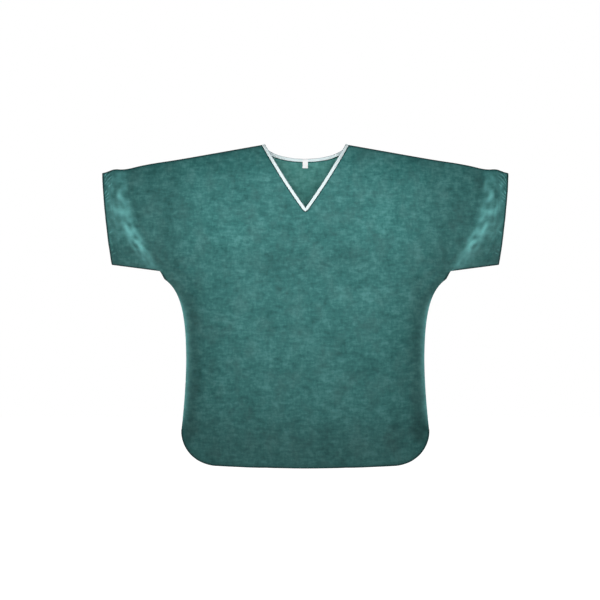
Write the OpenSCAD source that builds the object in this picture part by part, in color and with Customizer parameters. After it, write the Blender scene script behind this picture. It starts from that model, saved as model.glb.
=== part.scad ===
// Short-sleeved patient gown of thin nonwoven cloth with a bound V neck.
// Millimetres. +Z up, the front faces -Y, and the wearer's left is +X.
// The origin is in the neck opening, midway between the two high shoulder points.
// The cloth hangs as a slim hollow shell: a front and a back layer that meet at the
// shoulder seams and at the side seams, and stand apart everywhere else.

/* [Body] */
// Length from the high shoulder point to the middle of the hem
body_length = 741; // [660:1:820]
// Half of the width at the waist, the narrowest place
waist_half = 274; // [250:1:300]
// Half of the width where the side seams end above the hem
hem_half = 285; // [262:1:310]
// Height of the rounded hem corners
corner_height = 85; // [60:1:110]
// How far the rounded hem corners reach in from the side
corner_width = 85; // [60:1:110]
// Depth of the front layer in front of the seams
front_depth = 60; // [40:1:80]
// Depth of the back layer behind the seams
back_depth = 50; // [35:1:70]

/* [Sleeves] */
// Half of the whole width from sleeve end to sleeve end
sleeve_half = 467; // [440:1:500]
// Drop of the shoulder seam from the neck to the sleeve end
shoulder_drop = 66; // [40:1:80]
// Height of the sleeve end, its flat opening
sleeve_opening = 211; // [190:1:230]
// How much less the sleeve reaches out at the underarm than at the shoulder
sleeve_slant = 22; // [0:1:40]
// Distance of the underarm point from the middle
underarm_half = 329; // [310:1:345]
// Depth of the underarm point below the high shoulder point
underarm_drop = 296; // [270:1:310]
// Depth of the sleeve compared with the body
sleeve_share = 0.62; // [0.5:0.01:0.8]

/* [Neck] */
// Half of the neck width at the shoulders, where the cloth ends in the binding
neck_half = 94; // [85:1:110]
// Depth of the V at the front
v_depth = 150; // [120:1:170]
// How far the legs of the V bow out from a straight line
v_bow = 3; // [0:1:8]
// Depth of the scoop at the back
scoop_depth = 31; // [20:1:45]
// How far the binding reaches over the cloth
binding_width = 7; // [6:0.5:10]

/* [Label] */
// Width of the size label
label_width = 13; // [10:1:20]
// Length of the size label that hangs free
label_length = 19; // [12:1:30]

/* [Cloth] */
// Thickness that the cloth layers are modelled with
cloth_t = 1; // [0.8:0.1:1.2]
// Width of the turned-up hem at the bottom
hem_width = 8; // [6:1:12]
// Width of the turned-up hem at the sleeve ends
cuff_width = 20; // [15:1:25]
// Width of the seam allowances
seam_width = 6; // [4:1:8]

/* [Hidden] */

cloth_colour = [0.24, 0.44, 0.43];
seam_colour = [0.18, 0.36, 0.35];
thread_colour = [0.20, 0.40, 0.39];
binding_colour = [0.93, 0.96, 0.96];

touch = 0.05;           // gap between pieces that lie face to face
ease = 0.3;             // gap between the folded binding and the cloth inside it
seam_gap = 1 + touch;   // from the seam plane to a layer's inner face at a seam
joint_gap = 0.4;        // gap between cloth sections that ride on different bodies
rise_reach = 112;       // distance from a seam over which a layer rises to its full depth
blend_power = 4;        // how sharply the rises from two seams blend
bend_from = 287;        // the sleeve bends between these two distances from the middle
bend_to = 363;
hem_bow = 5;            // how much lower the hem is in the middle than at its corners
hem_leaf = 0.8;         // thickness of a turned-up hem
tape_leaf = 0.6;        // thickness of the binding tape
thread_w = 0.9;         // width of a line of stitches
thread_t = 0.35;        // thickness of a line of stitches
thread_gap = 0.8;       // gap under a line of stitches, which the cloth's facets need

// ---- small helpers -----------------------------------------------------------------

function lerp(a, b, t) = a + (b - a) * t;
function bezier(a, b, c, d, t) =
    a * pow(1 - t, 3) + b * 3 * t * pow(1 - t, 2) + c * 3 * t * t * (1 - t) + d * pow(t, 3);
function flip(list) = [for (i = [len(list) - 1:-1:0]) list[i]];
function rest(list, from) = [for (i = [from:len(list) - 1]) list[i]];
// A half's points from the middle outwards, as a whole line from side to side.
function whole(half) = concat([for (p = flip(rest(half, 1))) [-p[0], p[1]]], half);
function segment_distance(p, a, b) =
    let (ab = b - a, t = max(0, min(1, ((p - a) * ab) / (ab * ab))))
    norm(p - a - ab * t);
function line_distance(p, line) =
    min([for (i = [0:len(line) - 2]) segment_distance(p, line[i], line[i + 1])]);
// Unit normals of an open line, to the right of its direction of travel.
function line_normals(line) = [
    for (i = [0:len(line) - 1])
        let (d = line[min(i + 1, len(line) - 1)] - line[max(i - 1, 0)])
        [d[1], -d[0]] / norm(d)
];
function moved(line, amount) =
    let (n = line_normals(line)) [for (i = [0:len(line) - 1]) line[i] + n[i] * amount];
function between(a, b, t) = [for (i = [0:len(a) - 1]) lerp(a[i], b[i], t)];

// ---- the outline, as points [x, z] of the wearer's left half ------------------------

hem_corner = [hem_half, -body_length + corner_height];
underarm = [underarm_half, -underarm_drop];
sleeve_top = [sleeve_half, -shoulder_drop];
sleeve_bottom = [sleeve_half - sleeve_slant, -shoulder_drop - sleeve_opening];
waist = [waist_half, -0.66 * body_length];
shoulder_slope = shoulder_drop / (sleeve_half - neck_half);

function shoulder_z(x) = -shoulder_slope * (x - neck_half);

side_line = concat(
    [for (i = [0:6]) bezier(hem_corner, hem_corner + [-5, 40], waist - [0, 60], waist, i / 6)],
    [for (i = [1:10]) bezier(waist, waist + [1, 105], underarm - [39, 40], underarm, i / 10)]
);
armpit_line = rest(side_line, 7);
edge_line = concat(side_line, [sleeve_bottom]);
shoulder_line = [[neck_half, 0], sleeve_top];
side_table = [for (p = side_line) [p[1], p[0]]];
underarm_table = concat(armpit_line, [sleeve_bottom]);

function side_x(z) = min(bend_from, lookup(z, side_table));
function underarm_z(x) = lookup(x, underarm_table);
function sleeve_end_x(t) = lerp(sleeve_bottom[0], sleeve_top[0], t);
function corner_point(a) =
    hem_corner + [corner_width * (cos(a) - 1), -(corner_height - hem_bow) * sin(a)];
function hem_z(x) = lerp(-body_length, corner_point(90)[1], x / corner_point(90)[0]);

// ---- how far a layer stands out from the seam plane ----------------------------------

function rise(distance) = let (q = min(1, distance / rise_reach)) 2 * q - q * q;
function smooth(q) = let (c = max(0, min(1, q))) c * c * (3 - 2 * c);
// The sleeves are shallower than the body.
function fullness(x) = 1 - (1 - sleeve_share) * smooth((abs(x) - 120) / 240);
function depth_share(x, z) =
    let (p = [abs(x), z],
         a = max(rise(line_distance(p, shoulder_line)), 1e-3),
         b = max(rise(line_distance(p, edge_line)), 1e-3))
    fullness(x) * pow(pow(a, -blend_power) + pow(b, -blend_power), -1 / blend_power);
function cloth_y(p, deep) = seam_gap + deep * max(0, depth_share(p[0], p[1]) - 0.002);

// ---- solids that follow the cloth ----------------------------------------------------

// A closed sheet over rows of [x, z] points, as a layer on the -Y side. It fills the
// space between two offsets from the layer's inner face. Above row open_from it is
// open between the columns split and split + 1, which are the same line below it.
module sheet(rows, deep, outer, inner, split = -1, open_from = 0) {
    m = len(rows);
    n = len(rows[0]);
    points = [
        for (offset = [outer, inner], row = rows, p = row)
            [p[0], -cloth_y(p, deep) - offset, p[1]]
    ];
    function at(i, j) = i * n + j;
    function under(i, j) = m * n + at(i, j);
    function wall(i, j, k, l) = [
        [at(k, l), at(i, j), under(k, l)],
        [under(k, l), at(i, j), under(i, j)],
    ];
    function cell(i, j) = [
        [at(i + 1, j + 1), at(i, j + 1), at(i, j)],
        [at(i + 1, j), at(i + 1, j + 1), at(i, j)],
        [under(i, j + 1), under(i + 1, j + 1), under(i, j)],
        [under(i + 1, j + 1), under(i + 1, j), under(i, j)],
    ];
    across = [for (j = [0:n - 2]) if (j != split) j];
    open_rows = split < 0 ? [] : [open_from:m - 2];
    faces = concat(
        [for (i = [0:m - 2], j = across) each cell(i, j)],
        [for (j = across) each wall(0, j + 1, 0, j)],
        [for (j = across) each wall(m - 1, j, m - 1, j + 1)],
        [for (i = [0:m - 2]) each wall(i, 0, i + 1, 0)],
        [for (i = [0:m - 2]) each wall(i + 1, n - 1, i, n - 1)],
        [for (i = open_rows) each wall(i + 1, split, i, split)],
        [for (i = open_rows) each wall(i, split + 1, i + 1, split + 1)]
    );
    polyhedron(points = points, faces = faces, convexity = 6);
}

// A tape folded over a raw edge. It runs along path, and normals point into the cloth.
// Its section is a U that holds the cloth. The cells that face the cloth's outside are
// split the same way as the cloth's, which is the other way where its rows cross the path.
module folded_tape(path, normals, deep, rows_cross) {
    fold = -ease - tape_leaf;
    over = cloth_t + ease;
    section = [
        [binding_width, over + tape_leaf], [fold, over + tape_leaf],
        [fold, -ease - tape_leaf], [binding_width, -ease - tape_leaf],
        [binding_width, -ease], [-ease, -ease],
        [-ease, over], [binding_width, over],
    ];
    cap = [[0, 1, 6, 7], [1, 2, 5, 6], [2, 3, 4, 5]];
    k = len(section);
    last = (len(path) - 1) * k;
    points = [
        for (i = [0:len(path) - 1], s = section)
            let (p = path[i] + normals[i] * s[0])
            [p[0], -cloth_y(p, deep) - s[1], p[1]]
    ];
    faces = concat(
        [for (i = [0:len(path) - 2], j = [0:k - 1])
            let (a = i * k + j, b = i * k + (j + 1) % k)
            each j == 6 && !rows_cross
                ? [[a, b, a + k], [b, b + k, a + k]] : [[a, b, b + k], [a, b + k, a + k]]],
        [for (c = cap) flip(c)],
        [for (c = cap) [for (v = c) last + v]]
    );
    polyhedron(points = points, faces = faces, convexity = 6);
}

// A flat ribbon in the seam plane between an edge line and the same line moved.
module seam_ribbon(line, width) {
    rotate([90, 0, 0])
        linear_extrude(2 * (seam_gap - touch), center = true)
            polygon(concat(line, flip(moved(line, width))));
}

// A line of stitches that stands on a layer's outer face. It lies a share t of the way
// from one line of points to the other, and is that share's width wide.
module stitches(from, to, width, t, deep) {
    near = between(from, to, t);
    far = between(from, to, t + thread_w / width);
    lift = cloth_t + thread_gap;
    sheet([near, far], deep, lift + thread_t, lift);
}

module to_back() { mirror([0, 1, 0]) children(); }
module to_right() { mirror([1, 0, 0]) children(); }

// ---- the grids of the body panels ----------------------------------------------------

skirt_rows = 16;   // from the hem to the point of the V
yoke_rows = 10;    // from there to the shoulder
curl_rows = 7;     // rows over which the hem's curve dies out
flat_share = 1 - corner_width / hem_half;
yoke_z = -v_depth - 60;

// Shares of the half width at which the columns of a panel stand.
corner_angles = [70, 52, 35, 18, 8, 0];
corner_columns = [for (a = corner_angles) corner_point(a)[0] / hem_half];
front_columns = concat([0, 0.04, 0.16, 0.30, 0.43, 0.56, flat_share], corner_columns);
scoop_path = [for (a = [0:15:90]) [neck_half * sin(a), -scoop_depth * cos(a)]];
scoop_end = len(scoop_path) - 1;
back_columns = concat(
    [for (p = scoop_path) p[0] / bend_from],
    [(neck_half + binding_width) / bend_from, 0.43, 0.52, 0.61, flat_share], corner_columns
);

// The hem's edge under the columns, and the line that its turned-up edge reaches.
function hem_edge(columns) = concat(
    [for (u = columns) if (u <= flat_share) [u * hem_half, hem_z(u * hem_half)]],
    [for (a = corner_angles) corner_point(a)]
);
function hem_top(columns) =
    let (line = moved(hem_edge(columns), -hem_width), z = hem_corner[1] + hem_width)
    [for (j = [0:len(line) - 1])
        j == 0 ? [0, hem_width - body_length] : j == len(line) - 1 ? [side_x(z), z] : line[j]];
// How far a point in row i leaves the straight line across, as the hem's top does.
function hem_curl(top, columns, i) =
    let (share = pow(max(0, 1 - (i - 1) / curl_rows), 1.6))
    [for (j = [0:len(columns) - 1])
        share * (top[j] - lerp(top[0], top[len(top) - 1], columns[j]))];

// ---- the front panel -----------------------------------------------------------------

function v_edge(t) =
    [neck_half * t, lerp(-v_depth, 0, t)] + v_bow * sin(180 * t) * [0.84, -0.54];
v_path = [for (i = [0:yoke_rows]) v_edge(i / yoke_rows)];
v_mitre = 1.2;     // how much longer the tape is at the point of the V
// The tape is cut along the shoulder seam at its upper end.
along_shoulder = [1, -shoulder_slope] / norm([1, shoulder_slope]);
v_normals = [
    for (i = [0:yoke_rows])
        i == 0 ? [0, -v_mitre] : i == yoke_rows ? along_shoulder : line_normals(v_path)[i]
];

function skirt_row(i) =
    let (edge = hem_edge(front_columns),
         top = hem_top(front_columns),
         t = (i - 1) / (skirt_rows - 1),
         curl = hem_curl(top, front_columns, i),
         z = lerp(top[len(top) - 1][1], yoke_z, t),
         a = [0, lerp(top[0][1], -v_depth, t)],
         b = [side_x(z), z])
    i == 0 ? edge : [for (j = [0:len(curl) - 1]) lerp(a, b, front_columns[j]) + curl[j]];
function yoke_row(i) =
    let (t = i / yoke_rows,
         z = lerp(yoke_z, shoulder_z(bend_from), t),
         a = v_path[i] + v_normals[i] * binding_width,
         b = [side_x(z), z],
         first = front_columns[1])
    concat([v_path[i]], [for (u = rest(front_columns, 1)) lerp(a, b, (u - first) / (1 - first))]);
front_half = concat([for (i = [0:skirt_rows]) skirt_row(i)], [for (i = [1:yoke_rows]) yoke_row(i)]);
front_rows = [for (row = front_half) concat([for (p = flip(row)) [-p[0], p[1]]], row)];

module front_panel() {
    color(cloth_colour)
        sheet(front_rows, front_depth, cloth_t, 0, len(front_columns) - 1, skirt_rows);
}

// ---- the back panel ------------------------------------------------------------------

back_steps = 19;   // rows between the turned-up hem and the binding
scoop_line = whole(scoop_path);
scoop_normals = [
    for (i = [0:2 * scoop_end])
        i == 0 ? [-along_shoulder[0], along_shoulder[1]]
               : i == 2 * scoop_end ? along_shoulder : line_normals(scoop_line)[i]
];
back_top = [
    for (j = [0:len(back_columns) - 1])
        let (x = back_columns[j] * bend_from)
        j <= scoop_end ? scoop_path[j] : [x, shoulder_z(x)]
];
function under_binding(j) = scoop_path[j] + scoop_normals[scoop_end + j] * binding_width;
// The row under the top one: below the scoop it is where the binding ends.
back_neck = [
    for (j = [0:len(back_columns) - 1])
        j < scoop_end ? under_binding(j)
        : j == scoop_end ? lerp(under_binding(j - 1), under_binding(j), 0.5)
        : back_top[j] + binding_width * (j == scoop_end + 1 ? [0.4, -1.1] : [0, -1.4])
];
function back_row(v) =
    let (low = hem_top(back_columns), end = len(low) - 1,
         z = lerp(low[end][1], back_neck[end][1], v),
         spread = side_x(z) - lerp(low[end][0], back_neck[end][0], v))
    [for (j = [0:end])
        let (p = lerp(low[j], back_neck[j], v))
        [p[0] + spread * back_columns[j], p[1]]];
back_half = concat(
    [hem_edge(back_columns)],
    [for (i = [0:back_steps]) back_row(i / back_steps)],
    [back_top]
);

module back_panel() {
    color(cloth_colour)
        to_back() sheet([for (row = back_half) whole(row)], back_depth, cloth_t, 0);
}

// ---- seams and hems of the body ------------------------------------------------------

module side_seam() {
    low = hem_corner[1] + hem_width + 1;
    inside = [for (p = side_line) if (p[1] > low + 1 && p[0] < bend_from) p];
    line = concat([[side_x(low), low]], inside, [[bend_from, underarm_z(bend_from)]]);
    color(seam_colour)
        seam_ribbon(line, -seam_width);
}

module shoulder_seam() {
    color(seam_colour)
        seam_ribbon([for (x = [neck_half + binding_width + 2, bend_from]) [x, shoulder_z(x)]], seam_width);
}

front_hem_lines = [whole(front_half[0]), whole(front_half[1])];
back_hem_lines = [whole(back_half[0]), whole(back_half[1])];

module hem(lines, deep) {
    color(seam_colour)
        sheet([between(lines[0], lines[1], 0.04), lines[1]], deep, -touch, -touch - hem_leaf);
}

module hem_stitching(lines, deep) {
    color(thread_colour)
        stitches(lines[0], lines[1], hem_width, 0.75, deep);
}

// A short dense bar of thread on each layer, where the side seam ends at the hem.
module bartack() {
    z = hem_corner[1] + hem_width;
    rows = [for (h = [0, 2.5]) [for (d = [9, 6, 3, 0.5]) [side_x(z + h) - d, z + h]]];
    lift = cloth_t + 2 * thread_gap;
    color(thread_colour) {
        sheet(rows, front_depth, lift + thread_t, lift);
        to_back() sheet(rows, back_depth, lift + thread_t, lift);
    }
}

// ---- the neck ------------------------------------------------------------------------

module front_binding() {
    color(binding_colour)
        folded_tape(v_path, v_normals, front_depth, true);
}

module back_binding() {
    color(binding_colour)
        to_back() folded_tape(scoop_line, scoop_normals, back_depth, false);
}

// A line of stitches near the free edge of a binding, on its outer leaf.
module binding_stitching(path, normals, deep) {
    inner = path + normals * (binding_width - 2);
    outer = path + normals * (binding_width - 2 + thread_w);
    lift = cloth_t + ease + tape_leaf + thread_gap;
    color(binding_colour)
        sheet([outer, inner], deep, lift + thread_t, lift);
}

// ---- the size label, inside the back of the neck -------------------------------------

label_t = 0.5;
label_top = -scoop_depth - 1.5;
label_gap = 1.6;        // from the binding's inner leaf to the label, at the middle
label_y = cloth_y([0, label_top], back_depth) - ease - tape_leaf - label_gap;

module size_label() {
    color(binding_colour)
        translate([-label_width / 2, label_y - label_t, label_top - label_length])
            cube([label_width, label_t, label_length]);
}

// The row of stitches that holds the label's top edge to the binding.
module label_stitching() {
    color(binding_colour)
        translate([-label_width / 2, label_y + 2 * touch, label_top + joint_gap])
            cube([label_width, 0.3, thread_w]);
}

// ---- the sleeves ---------------------------------------------------------------------

// Rows of [x, z] from the underarm up to the shoulder seam. The last columns follow
// the sleeve's slanted end, at the given distances from it.
function sleeve_rows(from, to, steps, from_end = []) = [
    for (i = [0:10])
        let (t = i / 10,
             end = to > 0 ? to : sleeve_end_x(t) - from_end[0],
             xs = concat([for (j = [0:steps]) lerp(from, end, j / steps)],
                         [for (d = rest(from_end, 1)) sleeve_end_x(t) - d]))
        [for (x = xs) [x, lerp(underarm_z(x), shoulder_z(x), t)]]
];
sleeve_grid = sleeve_rows(bend_to + joint_gap, 0, 5, [cuff_width, 0]);
function column(rows, j) = [for (row = rows) row[j]];
cuff_line = column(sleeve_grid, 5);
end_line = column(sleeve_grid, 6);

module cloth_bend(deep) {
    color(cloth_colour)
        sheet(sleeve_rows(bend_from + joint_gap, bend_to, 6), deep, cloth_t, 0);
}

module sleeve(deep) {
    color(cloth_colour)
        sheet(sleeve_grid, deep, cloth_t, 0);
}

module hem_ring_half(deep) {
    near_end = between(end_line, cuff_line, 0.02);
    sheet([for (i = [0:10]) [cuff_line[i], near_end[i]]], deep, -touch, -touch - hem_leaf);
}

module sleeve_hem() {
    color(seam_colour) {
        hem_ring_half(front_depth);
        to_back() hem_ring_half(back_depth);
    }
}

module sleeve_stitching() {
    color(thread_colour) {
        stitches(cuff_line, end_line, cuff_width, 0.08, front_depth);
        to_back() stitches(cuff_line, end_line, cuff_width, 0.08, back_depth);
    }
}

function overarm(from, to) = [for (x = [from, to]) [x, shoulder_z(x)]];
function underarm_run(from, to) = concat(
    [[from, underarm_z(from)]],
    [for (p = armpit_line) if (p[0] > from + 1 && p[0] < to - 1) p],
    [[to, underarm_z(to)]]
);

module bend_seams() {
    color(seam_colour) {
        seam_ribbon(overarm(bend_from + joint_gap, bend_to), seam_width);
        seam_ribbon(underarm_run(bend_from + joint_gap, bend_to), -seam_width);
    }
}

module overarm_seam() {
    color(seam_colour)
        seam_ribbon(overarm(bend_to + joint_gap, sleeve_top[0] - cuff_width - 1), seam_width);
}

module underarm_seam() {
    color(seam_colour)
        seam_ribbon(underarm_run(bend_to + joint_gap, sleeve_bottom[0] - cuff_width - 1), -seam_width);
}

// ---- nodes ---------------------------------------------------------------------------

front_panel();
back_panel();
side_seam();  // left_side_seam
to_right() side_seam();  // right_side_seam
shoulder_seam();  // left_shoulder_seam
to_right() shoulder_seam();  // right_shoulder_seam
hem(front_hem_lines, front_depth);  // front_hem
to_back() hem(back_hem_lines, back_depth);  // back_hem
hem_stitching(front_hem_lines, front_depth);  // front_hem_stitching
to_back() hem_stitching(back_hem_lines, back_depth);  // back_hem_stitching
bartack();  // left_bartack
to_right() bartack();  // right_bartack
front_binding();  // left_front_binding
to_right() front_binding();  // right_front_binding
back_binding();
binding_stitching(v_path, v_normals, front_depth);  // left_binding_stitching
to_right() binding_stitching(v_path, v_normals, front_depth);  // right_binding_stitching
to_back() binding_stitching(scoop_line, scoop_normals, back_depth);  // back_binding_stitching
size_label();
label_stitching();

cloth_bend(front_depth);  // left_front_bend
to_back() cloth_bend(back_depth);  // left_back_bend
bend_seams();  // left_bend_seams
to_right() cloth_bend(front_depth);  // right_front_bend
to_right() to_back() cloth_bend(back_depth);  // right_back_bend
to_right() bend_seams();  // right_bend_seams

sleeve(front_depth);  // left_front_sleeve
to_back() sleeve(back_depth);  // left_back_sleeve
sleeve_hem();  // left_sleeve_hem
sleeve_stitching();  // left_sleeve_stitching
overarm_seam();  // left_overarm_seam
underarm_seam();  // left_underarm_seam

to_right() sleeve(front_depth);  // right_front_sleeve
to_right() to_back() sleeve(back_depth);  // right_back_sleeve
to_right() sleeve_hem();  // right_sleeve_hem
to_right() sleeve_stitching();  // right_sleeve_stitching
to_right() overarm_seam();  // right_overarm_seam
to_right() underarm_seam();  // right_underarm_seam
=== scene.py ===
import math

import bmesh
import bpy
import numpy as np
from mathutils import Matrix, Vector, noise
from mathutils.geometry import delaunay_2d_cdt
from mathutils.kdtree import KDTree


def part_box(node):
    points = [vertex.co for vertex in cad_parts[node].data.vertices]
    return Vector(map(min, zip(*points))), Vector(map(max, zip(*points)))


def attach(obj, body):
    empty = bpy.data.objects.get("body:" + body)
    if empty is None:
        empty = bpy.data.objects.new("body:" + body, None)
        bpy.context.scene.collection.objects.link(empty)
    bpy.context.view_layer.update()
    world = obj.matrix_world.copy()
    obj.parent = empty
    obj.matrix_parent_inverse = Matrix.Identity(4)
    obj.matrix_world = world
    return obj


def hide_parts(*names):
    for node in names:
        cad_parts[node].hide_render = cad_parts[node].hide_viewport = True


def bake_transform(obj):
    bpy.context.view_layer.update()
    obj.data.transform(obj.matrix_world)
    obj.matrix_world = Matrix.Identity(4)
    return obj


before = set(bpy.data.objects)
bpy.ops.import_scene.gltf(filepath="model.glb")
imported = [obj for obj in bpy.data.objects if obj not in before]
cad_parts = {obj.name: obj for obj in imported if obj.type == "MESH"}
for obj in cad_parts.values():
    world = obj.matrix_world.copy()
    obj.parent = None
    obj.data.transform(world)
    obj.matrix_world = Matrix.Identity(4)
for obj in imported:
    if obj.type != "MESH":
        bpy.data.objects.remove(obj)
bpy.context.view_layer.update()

# ---- sizes in metres, the same as the CAD model's ----

MM = 0.001
LENGTH = -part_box("front_panel")[0].z
SLEEVE_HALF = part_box("left_front_sleeve")[1].x
NECK_HALF = 0.094
SHOULDER_DROP = 0.066
SLEEVE_OPENING = 0.211
SLEEVE_SLANT = 0.022
UNDERARM = (0.334, -0.2915)
UNDERARM_LOW = (0.324, -0.3100)   # the short steep end of the side seam
WAIST = (0.274, -0.66 * LENGTH)
HEM_HALF = 0.285
CORNER_HEIGHT = 0.085
CORNER_WIDTH = 0.085
HEM_BOW = 0.005
V_DEPTH = 0.150
V_BOW = 0.003
SCOOP_DEPTH = 0.031
DEPTH = {"front": 0.060, "back": 0.050}
RISE_REACH = 0.112      # how far in from a seam the cloth keeps rising
BLEND_POWER = 4         # how tightly the rise from the shoulder meets that from the side
SLEEVE_SHARE = 0.62     # how full the sleeve is against the body
SLEEVE_FROM = 0.31      # where the body's look gives way to the sleeve's
BAND_Z = -0.285         # the cloth is drawn in across the front from underarm to underarm

CUFF_WIDTH = 0.020
HEM_WIDTH = 0.008
TAPE_WIDTHS = {"front": 0.0061, "back": 0.0058}
SEAM_WIDTH = 0.006
CLOTH_T = 0.5 * MM
SEAM_Y = 0.05 * MM      # half of the gap between front and back at a seam
SWELL = 1.2 * MM        # how far the cloth leaves the seam plane on its first millimetres
STEP = 3.2 * MM         # spacing of the cloth's points
EDGE_STEP = 2.6 * MM
FINE_STEP = 1.5 * MM    # spacing near the sleeve ends, which pucker, and by the neck
FINE_ZONE = 0.030
NECK_ZONE = 0.013
ROW_SHARE = 0.866       # height of an even triangle against its side
CLEAR_SHARE = 0.55      # an inner point stays this share of a step off the outline

SLOPE = SHOULDER_DROP / (SLEEVE_HALF - NECK_HALF)
HEM_CORNER = (HEM_HALF, CORNER_HEIGHT - LENGTH)
SLEEVE_BOTTOM = (SLEEVE_HALF - SLEEVE_SLANT, -SHOULDER_DROP - SLEEVE_OPENING)
OUTWARD = {"front": -1.0, "back": 1.0}
HAND = {"left": 1.0, "right": -1.0}


# ---- small helpers ----

def smooth(q):
    """An even step from 0 to 1 as q goes from 0 to 1."""
    q = np.clip(q, 0.0, 1.0)
    return q * q * (3 - 2 * q)


def bump(value, middle, width):
    """A bell: 1 at its middle, and about a third at its width from there."""
    return np.exp(-((value - middle) / width) ** 2)


def bezier(a, b, c, d, count):
    t = np.linspace(0, 1, count)[:, None]
    a, b, c, d = (np.array(p) for p in (a, b, c, d))
    return a * (1 - t) ** 3 + 3 * b * t * (1 - t) ** 2 + 3 * c * t * t * (1 - t) + d * t ** 3


def arc_lengths(points):
    """Each point's distance along the line."""
    return np.r_[0, np.cumsum(np.linalg.norm(np.diff(points, axis=0), axis=1))]


def resample(line, step):
    """The line's points at an even spacing near step, with both ends kept."""
    line = np.asarray(line, float)
    along = arc_lengths(line)
    count = max(2, int(round(along[-1] / step)) + 1)
    at = np.linspace(0, along[-1], count)
    return np.stack([np.interp(at, along, line[:, k]) for k in range(line.shape[1])], axis=1)


def line_distance(x, z, line):
    """The distance of each point from the nearest part of a line."""
    best = np.full(np.shape(x), 1e9)
    for (ax, az), (bx, bz) in zip(line[:-1], line[1:]):
        dx, dz = bx - ax, bz - az
        t = np.clip(((x - ax) * dx + (z - az) * dz) / (dx * dx + dz * dz), 0, 1)
        best = np.minimum(best, np.hypot(x - ax - t * dx, z - az - t * dz))
    return best


def unit(v):
    v = np.asarray(v, float)
    return v / np.maximum(np.linalg.norm(v, axis=-1, keepdims=True), 1e-12)


# ---- the outline of the wearer's left half, as points (x, z) ----

def shoulder_z(x):
    """The shoulder seam: straight, and drawn up a little by the sleeve's hem."""
    drawn = 4.0 * bump(x, 0.440, 0.013) + 1.5 * bump(x, 0.355, 0.045) - 1.0 * bump(x, 0.405, 0.015)
    return -SLOPE * (x - NECK_HALF) + MM * drawn


def v_line():
    t = np.linspace(0, 1, 60)
    bow = V_BOW * np.sin(math.pi * t)
    return np.stack([NECK_HALF * t + 0.84 * bow, -V_DEPTH * (1 - t) - 0.54 * bow], axis=1)


def scoop_line():
    a = np.linspace(0, math.pi / 2, 60)
    return np.stack([NECK_HALF * np.sin(a), -SCOOP_DEPTH * np.cos(a)], axis=1)


def side_line():
    """From the hem's corner up to the underarm."""
    waist = np.array(WAIST)
    low = bezier(HEM_CORNER, np.add(HEM_CORNER, (-0.005, 0.04)), waist - (0, 0.06), waist, 30)
    bent = np.subtract(UNDERARM_LOW, (0.040, 0.027))
    high = bezier(waist, waist + (0.001, 0.090), bent, UNDERARM_LOW, 40)
    return np.concatenate([low, high[1:], [UNDERARM]])


def hem_line():
    """From the middle out and up round the corner to the side seam."""
    a = np.linspace(math.pi / 2, 0, 50)
    corner = np.stack([
        HEM_CORNER[0] + CORNER_WIDTH * (np.cos(a) - 1),
        HEM_CORNER[1] - (CORNER_HEIGHT - HEM_BOW) * np.sin(a)], axis=1)
    x = np.linspace(0, corner[0, 0], 40)[:-1]
    u = x / corner[0, 0]
    z = -LENGTH + HEM_BOW * u * u * (1.5 - 0.5 * u)
    return np.concatenate([np.stack([x, z], axis=1), corner])


SIDE = side_line()
EDGE = np.concatenate([SIDE, [SLEEVE_BOTTOM]])
SHOULDER_X = np.linspace(NECK_HALF, SLEEVE_HALF, 45)
SHOULDER = np.stack([SHOULDER_X, shoulder_z(SHOULDER_X)], axis=1)
CUFF = np.array([SHOULDER[-1], SLEEVE_BOTTOM])
HEM = hem_line()
NECK = {"front": v_line(), "back": scoop_line()}
COARSE_EDGE = resample(EDGE, 0.02)


# ---- the hanging cloth as a height over the seam plane ----

def rise(distance):
    """From 0 at a seam to 1 where the cloth stops rising."""
    q = np.minimum(1, distance / RISE_REACH)
    return 2 * q - q * q


def fullness(x):
    """The share of its full depth that the gown has, from the body out to the sleeve."""
    return 1 - (1 - SLEEVE_SHARE) * smooth((np.abs(x) - 0.120) / 0.240)


def noise_field(x, z, size, seed, stretch=1.0):
    """Smooth noise from -1 to 1 with patches about as large as size."""
    return np.array([
        noise.noise((a / size, b / (size * stretch), seed)) for a, b in zip(x, z)])


def creases(x, z, size, seed, stretch, narrow=2.2, sharp=5):
    """Valleys where smooth noise passes through zero, from 0 to 1."""
    level = np.abs(noise_field(x, z, size, seed, stretch)) * narrow
    return (1 - np.minimum(1, level)) ** sharp


def drag_folds(ax, z, seed, side):
    """Shallow folds that fan out from the underarm over the chest and the sleeve."""
    dx = UNDERARM[0] - 0.02 - ax
    dz = z - UNDERARM[1] - 0.01
    reach = np.hypot(dx, dz)
    angle = np.arctan2(dz, dx)
    fan = np.sin(angle * 7.0 + seed + reach * 6.0)
    return fan * smooth(reach / 0.05) * np.exp(-reach / 0.11) * (1.0 if side == "front" else 1.3)


def front_folds(x, z):
    """The front's own forms, in millimetres."""
    ax = np.abs(x)
    low = smooth((-z - 0.50) / 0.22)
    chest = 5.0 * bump(ax, 0.145, 0.075) * bump(z, -0.205, 0.060)
    band = 5.5 * bump(x, 0.0, 0.20) * bump(z, BAND_Z, 0.022)
    belly = 2.5 * bump(x, 0.03, 0.10) * bump(z, -0.44, 0.09)
    upright_creases = 3.0 * low * (bump(x, 0.093, 0.007) + bump(x, -0.089, 0.008))
    rolls = 2.0 * low * (bump(x, 0.125, 0.025) + bump(x, -0.125, 0.025) + bump(x, 0.0, 0.05))
    side_valley = 3.6 * bump(ax, 0.222, 0.022) * smooth((-z - 0.36) / 0.10)
    return chest - band + belly - upright_creases + rolls - side_valley


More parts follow.
